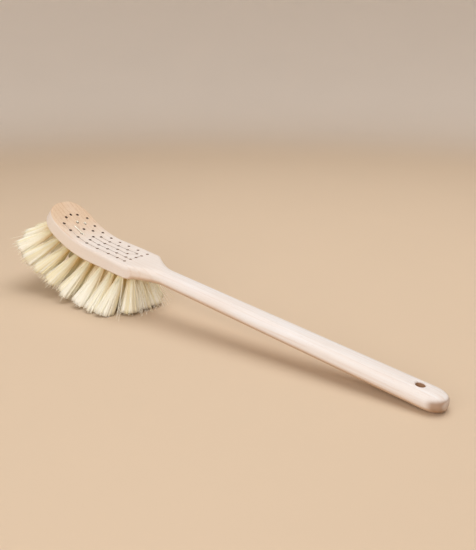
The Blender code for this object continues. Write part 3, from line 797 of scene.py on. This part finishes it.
# The single fibres of a tuft: some in its middle, some on its skin, strays round it.
def tuftPiece(item, number, material):
    chance = random.Random(seeds["fibres"] + number)
    profile = tuftProfile(number)
    pack = tuft["packRadius"]
    tips = tipRadius(item)
    locks = []
    for index in range(tuft["locks"]):
        reach = math.sqrt((index + 0.6) / tuft["locks"]) * tuft["lockSpread"]
        turn = index * tuft["lockTurn"] + chance.uniform(-1, 1) * tuft["lockSway"] + number
        locks.append((reach * math.cos(turn), reach * math.sin(turn), chance.uniform(*tuft["lockShort"]),
                      *(chance.uniform(-1, 1) * tuft["lockShift"] for axis in range(2))))
    outward = np.array(item["outward"])
    mouth = np.array((0.0, 0.0, -item["mouth"]))
    length = item["length"] + tuft["longer"] * item["share"]
    paths, radii, shades, inwardShades = [], [], [], []
    back = np.array(item["place"].to_3x3().transposed() @ Vector(tuft["wispWay"]))
    squeezeX, squeezeY = tuft["rootSqueeze"]
    wisps = tuft["wisps"] if item["share"] == 0 else 0
    for index in range(tuft["fibres"] + tuft["strays"] + wisps):
        stray = index >= tuft["fibres"]
        onSkin = not stray and chance.random() > tuft["inside"]
        spoke = chance.randrange(core["sides"])
        turn = math.tau * spoke / core["sides"]
        reach = (profile["widths"][spoke] * chance.uniform(*tuft["skin"]) if onSkin
                 else math.sqrt(chance.random()))
        baseX, baseY = reach * math.cos(turn), reach * math.sin(turn)
        lock = min(locks, key=lambda one: (one[0] - baseX) ** 2 + (one[1] - baseY) ** 2)
        gather = 0.0 if stray or onSkin else tuft["gather"] * chance.uniform(*tuft["gathered"])
        tipX = blend(baseX, lock[0] + lock[3], gather) * tips
        tipY = blend(baseY, lock[1] + lock[4], gather) * tips
        short = lock[2] + chance.uniform(0, tuft["shortest"]) * chance.random()
        if stray:
            away = tuft["strayReach"] * chance.uniform(0.4, 1.0)
            tipX += away * math.cos(turn)
            tipY += away * math.sin(turn)
            short = -tuft["strayLonger"] * chance.random()
        base = mouth + (baseX * pack, baseY * pack, 0.0)
        tip = mouth + outward * length * (1 - short) + (tipX, tipY, 0.0)
        if index >= tuft["fibres"] + tuft["strays"]:
            tip += back * tuft["wispReach"] * chance.uniform(0.1, 1.0)
        tip = trimmed(item, base, tip)
        start = np.array((baseX * pack * squeezeX, baseY * pack * squeezeY,
                          tuft["rootRise"] - pattern["foldDepth"]))
        paths.append([[*(item["place"] @ Vector(point))]
                      for point in (start, base, blend(base, tip, 0.5), tip)])
        radii.append(tuft["strayRadius" if stray else "fibreRadius"] * chance.uniform(*tuft["swell"]))
        shades.append(0.5 * chance.random() + 0.5 * profile["tones"][spoke])
        # how far the fibre faces into the brush, where the finish paints shade
        inwardShades.append(0.0 if stray else facingIn(item, turn, reach))
    return fibrePiece(bundle(item["name"], paths, radii, shades, inwardShades, tuft["wave"], chance), material)


# Fibre ends that the wire has drawn up through a small hole, lying on the top.
drawnUp = {
    "tuft_near_row_6": {"fibres": 30, "ahead": 0.0130, "behind": -0.0034, "aside": 0.0004,
                        "fan": 0.0006, "shortest": 0.35},
    "tuft_centre_row_6": {"fibres": 20, "ahead": 0.0022, "behind": -0.0006, "aside": 0.0004,
                          "fan": 0.0014, "shortest": 0.6},
    "tuft_far_row_7": {"fibres": 20, "ahead": 0.0022, "behind": -0.0014, "aside": -0.0004,
                       "fan": 0.0014, "shortest": 0.6},
}
drawnUpRise = ((-0.1, 0.0022), (0.5, 0.0005), (1.0, 0.0003))     # share of the way, height


def drawnUpPiece(item, look, material):
    chance = random.Random(seeds["drawnUp"])
    level = item["place"].translation.y
    paths = []
    for number in range(look["fibres"]):
        ahead = look["behind" if number % 3 == 0 else "ahead"] * (1 - look["shortest"] * chance.random())
        aside = look["aside"] + chance.uniform(-1, 1) * look["fan"]
        start = item["place"] @ Vector((chance.uniform(-0.6, 0.6) * pattern["wireHole"], 0, -0.0020))
        way = [start]
        for share, lift in drawnUpRise:
            point, slope = topAt(item["distance"] + ahead * share)
            way.append(point + Vector((math.sin(slope) * lift, level + aside * share,
                                       math.cos(slope) * lift)))
        paths.append([[*point] for point in way])
    count = len(paths)
    mesh = bundle(item["name"] + "Ends", paths, [tuft["fibreRadius"] * 2] * count, [0.0] * count,
                  [0.0] * count, tuft["wave"] * 0.3, chance)
    mesh.attributes["along"].data.foreach_set("value", [1.0] * len(mesh.vertices))
    return fibrePiece(mesh, material)


# The packed middle of a tuft: a ruffled cone that ends in locks, under the single fibres.
def tuftCore(item, number, material):
    sides, rings, pack = core["sides"], core["rings"], tuft["packRadius"]
    profile = tuftProfile(number)
    turns = [math.tau * index / sides for index in range(sides)]
    mouth = np.array((0.0, 0.0, -item["mouth"]))
    reach = np.array(item["outward"]) * item["length"]
    places = []
    for ring in range(rings + 2):
        share = min(ring, rings) / rings
        hollow = ring > rings        # the last ring draws the end in
        inner = core["hollow"] if hollow else 1.0
        places.append([])
        for turn, wide, end in zip(turns, profile["widths"], profile["ends"]):
            along = share * blend(core["lengthShare"], end, share ** 3)
            along *= core["hollowDepth"] if hollow else 1.0
            width = blend(pack, tipRadius(item) * wide, along) * inner
            spoke = np.array((math.cos(turn), math.sin(turn), 0.0))
            base = mouth + spoke * pack * inner
            place = mouth * (1 - core["sunk"] * (ring == 0)) + reach * along + spoke * width
            places[-1].append(item["place"] @ Vector(trimmed(item, base, place)))
    cone = extruded(places)
    mesh = cone.data
    back = item["place"].inverted()
    start = core["alongFrom"]
    depths = [(-(back @ vert.co).z - item["mouth"]) / item["length"] for vert in mesh.vertices]
    facings = [facingIn(item, turn, 1.0) for turn in turns]
    mark(mesh, along=[min(max(blend(start, 1.0, depth), 0.0), 1.0) for depth in depths],
         tone=[profile["tones"][vert.index % sides] for vert in mesh.vertices],
         deep=[facings[vert.index % sides] for vert in mesh.vertices])
    mesh.materials.append(material)
    pick(cone)
    bpy.ops.object.shade_smooth()
    return cone


tampico = fibreFinish()
for number, item in enumerate(frames):
    words = item["name"].split("_")
    title = words[0] + "".join(word.capitalize() for word in words[1:]) + "Fibres"
    parts = [tuftPiece(item, number, tampico), tuftCore(item, number, tampico)]
    if item["name"] in drawnUp:
        parts.append(drawnUpPiece(item, drawnUp[item["name"]], tampico))
    settle(join(parts, title), title, [item["name"]])
print("tufts drawn in:", len(frames))


# Drawing wire, stitched along the top

wireLook = {"steel": (0.64, 0.57, 0.50), "dark": (0.44, 0.37, 0.31)}
stitching = {
    "radius": 0.00018, "pressed": 0.00011, "sunk": 0.00050, "dip": 0.00006, "sway": 0.00018,
    "legSpread": 0.00042, "legBottom": 0.0048, "loopSpread": 0.00195, "loopTop": 0.0056,
    "bendRadius": 0.0005, "dipReach": 0.6, "smoothAngle": math.radians(60),
}


def wireFinish():
    f = Finish("drawnSteelWire", Metallic=1.0, Roughness=0.38)
    spot = f.coordinates("Object")
    dull = f.noise(spot, 420.0, 3.0, 0.6)
    scratches = f.noise(spot, 2600.0, 2.0, 0.5)
    return f.show(Base_Color=f.mix(f.between(dull, 0.4, 0.7), wireLook["steel"], wireLook["dark"]),
                  Normal=f.bump(0.15, 0.0001, scratches), Roughness=f.between(dull, 0.3, 0.8, 0.30, 0.55))


# A stitch is drawn into the wood round the nose and on the far side.
def stitchIsSunk(*ends):
    return any(item["side"] > 0.9 or (item["share"] > 0.7 and item["side"] > -0.9) for item in ends)


# From hole to hole: down a leg, round the fold and up again, then along the top.
def wirePoints():
    points = []
    chance = random.Random(seeds["wire"])
    leg, loop, bend = stitching["legSpread"], stitching["loopSpread"], stitching["bendRadius"]
    for index, item in enumerate(frames):
        others = (frames[max(index - 1, 0)], frames[min(index + 1, len(frames) - 1)])
        before, after = (stitching["radius"] - stitching["sunk" if stitchIsSunk(item, other) else "pressed"]
                         for other in others)
        side = chance.uniform(-1, 1) * stitching["sway"]
        way = [(leg, side, -bend), (leg, 0, -stitching["legBottom"]),
               (loop, 0, -stitching["loopTop"]), (loop, 0, -pattern["foldDepth"])]
        down = [Vector((-x, y, z)) for x, y, z in way]
        up = [Vector(point) for point in reversed(way)]
        legs = [item["place"] @ point for point in down + up]
        normal = Vector((math.sin(item["slope"]), 0, math.cos(item["slope"])))
        stitch = item["place"].to_3x3() @ Vector((1, 0, 0))
        stitch = (stitch - normal * stitch.dot(normal)).normalized()
        here = item["place"].translation + normal.cross(stitch) * side
        edge = stitch * (pattern["wireHole"] + bend / 2)
        dip = stitch * (leg + bend * stitching["dipReach"])
        points += [here - edge + normal * before, here - dip + normal * (before - stitching["dip"]), *legs,
                   here + dip + normal * (after - stitching["dip"]), here + edge + normal * after]
    return points


def wirePiece():
    curve = bpy.data.curves.new("drawingWire", "CURVE")
    curve.dimensions = "3D"
    curve.bevel_depth = stitching["radius"]
    curve.bevel_resolution = 2
    curve.use_fill_caps = True
    points = wirePoints()[2:-2]
    line = curve.splines.new("POLY")
    line.points.add(len(points) - 1)
    for target, point in zip(line.points, points):
        target.co = (*point, 1.0)
    pick(newObject("drawingWire", curve))
    bpy.ops.object.convert(target="MESH")
    piece = bpy.context.object
    bpy.ops.object.shade_smooth_by_angle(angle=stitching["smoothAngle"])
    piece.data.materials.append(wireFinish())
    return piece


settle(wirePiece(), "drawingWireStitched", ["drawing_wire"])
print("wire stitched")


# Floor, light and camera

studio = {
    "floorRadius": 1.3, "rimRadius": 1.1, "rimHeight": 1.6, "rimSteps": 12,
    "floorColour": (0.700, 0.550, 0.400), "patchiness": 0.03,
    "wallColour": (0.900, 0.810, 0.720), "paleFrom": (0.90, 1.75),    # paler with the distance
    "world": (1.0, 0.985, 0.965), "worldStrength": 0.27,
}


# A round floor whose rim curves up into the wall.
def studioSweep():
    deselectAll()
    radius, rim, high = studio["floorRadius"], studio["rimRadius"], studio["rimHeight"]
    bpy.ops.mesh.primitive_circle_add(vertices=96, radius=radius, fill_type="NGON")
    sweep = bpy.context.object
    bpy.ops.object.mode_set(mode="EDIT")
    bpy.ops.mesh.select_mode(type="EDGE")
    bpy.ops.mesh.select_all(action="SELECT")
    bpy.ops.mesh.region_to_loop()
    steps = studio["rimSteps"]
    for step in range(1, steps + 2):
        turn = math.pi / 2 * min(step / steps, 1.0)
        out = radius + rim * math.sin(turn)
        up = rim * (1 - math.cos(turn)) + (high if step > steps else 0.0)
        bpy.ops.mesh.extrude_edges_move()
        shape = bmesh.from_edit_mesh(sweep.data)
        for vert in [vert for vert in shape.verts if vert.select]:
            flat = Vector((vert.co.x, vert.co.y)).normalized() * out
            vert.co = (flat.x, flat.y, up)
        bmesh.update_edit_mesh(sweep.data)
    bpy.ops.object.mode_set(mode="OBJECT")
    bpy.ops.object.shade_smooth()
    sweep.name = "studioFloor"
    f = Finish("plainPaper", Roughness=0.9)
    spot = f.coordinates("Object")
    away = f.add("ShaderNodeVectorMath", {"operation": "LENGTH"}, {0: spot}, 1)
    paper = f.mix(f.between(away, *studio["paleFrom"]), studio["floorColour"], studio["wallColour"])
    sweep.data.materials.append(f.show(Base_Color=f.mix(
        f.noise(spot, 5.0, 2.0, 0.5) * studio["patchiness"], paper, (0.0, 0.0, 0.0))))


lampAim = Vector((0, 0, 0.03))
lamps = {
    "overheadLamp": {"place": (0.05, 0.30, 1.42), "size": 1.5, "power": 14.6, "colour": (1.0, 0.99, 0.98)},
    "frontLamp": {"place": (0.40, -1.35, 0.55), "size": 2.0, "power": 17.6, "colour": (1.0, 0.99, 0.985)},
}


def areaLamp(name, place, size, power, colour):
    data = bpy.data.lights.new(name, "AREA")
    data.shape, data.size, data.energy, data.color = "DISK", size, power, colour
    lamp = newObject(name, data)
    lamp.location = place
    lamp.rotation_euler = (lampAim - Vector(place)).to_track_quat("-Z", "Y").to_euler()


view = {
    "azimuth": math.radians(40.34), "elevation": math.radians(18.22), "roll": math.radians(-0.05),
    "place": (0.4506, -0.4006, 0.1832),      # from the resting shoulder
    "focus": 699.85, "imageHeight": 550,
}


def photoCamera():
    data = bpy.data.cameras.new("photoCamera")
    data.sensor_fit, data.sensor_height = "VERTICAL", 36.0
    data.lens = view["focus"] * data.sensor_height / view["imageHeight"]
    data.clip_start, data.clip_end = 0.01, 20.0
    camera = newObject("photoCamera", data)
    azimuth, elevation = view["azimuth"], view["elevation"]
    back = Vector((math.sin(azimuth) * math.cos(elevation), -math.cos(azimuth) * math.cos(elevation),
                   math.sin(elevation)))
    right = Vector((math.cos(azimuth), math.sin(azimuth), 0))
    up = back.cross(right)
    turn = Matrix((right, up, back)).transposed() @ Matrix.Rotation(view["roll"], 3, "Z")
    camera.matrix_world = Matrix.Translation(
        Vector(resting["place"]) + Vector(view["place"])) @ turn.to_4x4()
    bpy.context.scene.camera = camera


studioSweep()
for name, values in lamps.items():
    areaLamp(name, **values)
photoCamera()
world = bpy.context.scene.world or bpy.data.worlds.new("studioLight")
bpy.context.scene.world = world
world.use_nodes = True
background = world.node_tree.nodes["Background"]
background.inputs["Color"].default_value = (*studio["world"], 1.0)
background.inputs["Strength"].default_value = studio["worldStrength"]
bpy.context.scene.view_settings.view_transform = "Standard"
print("studio ready")

deselectAll()
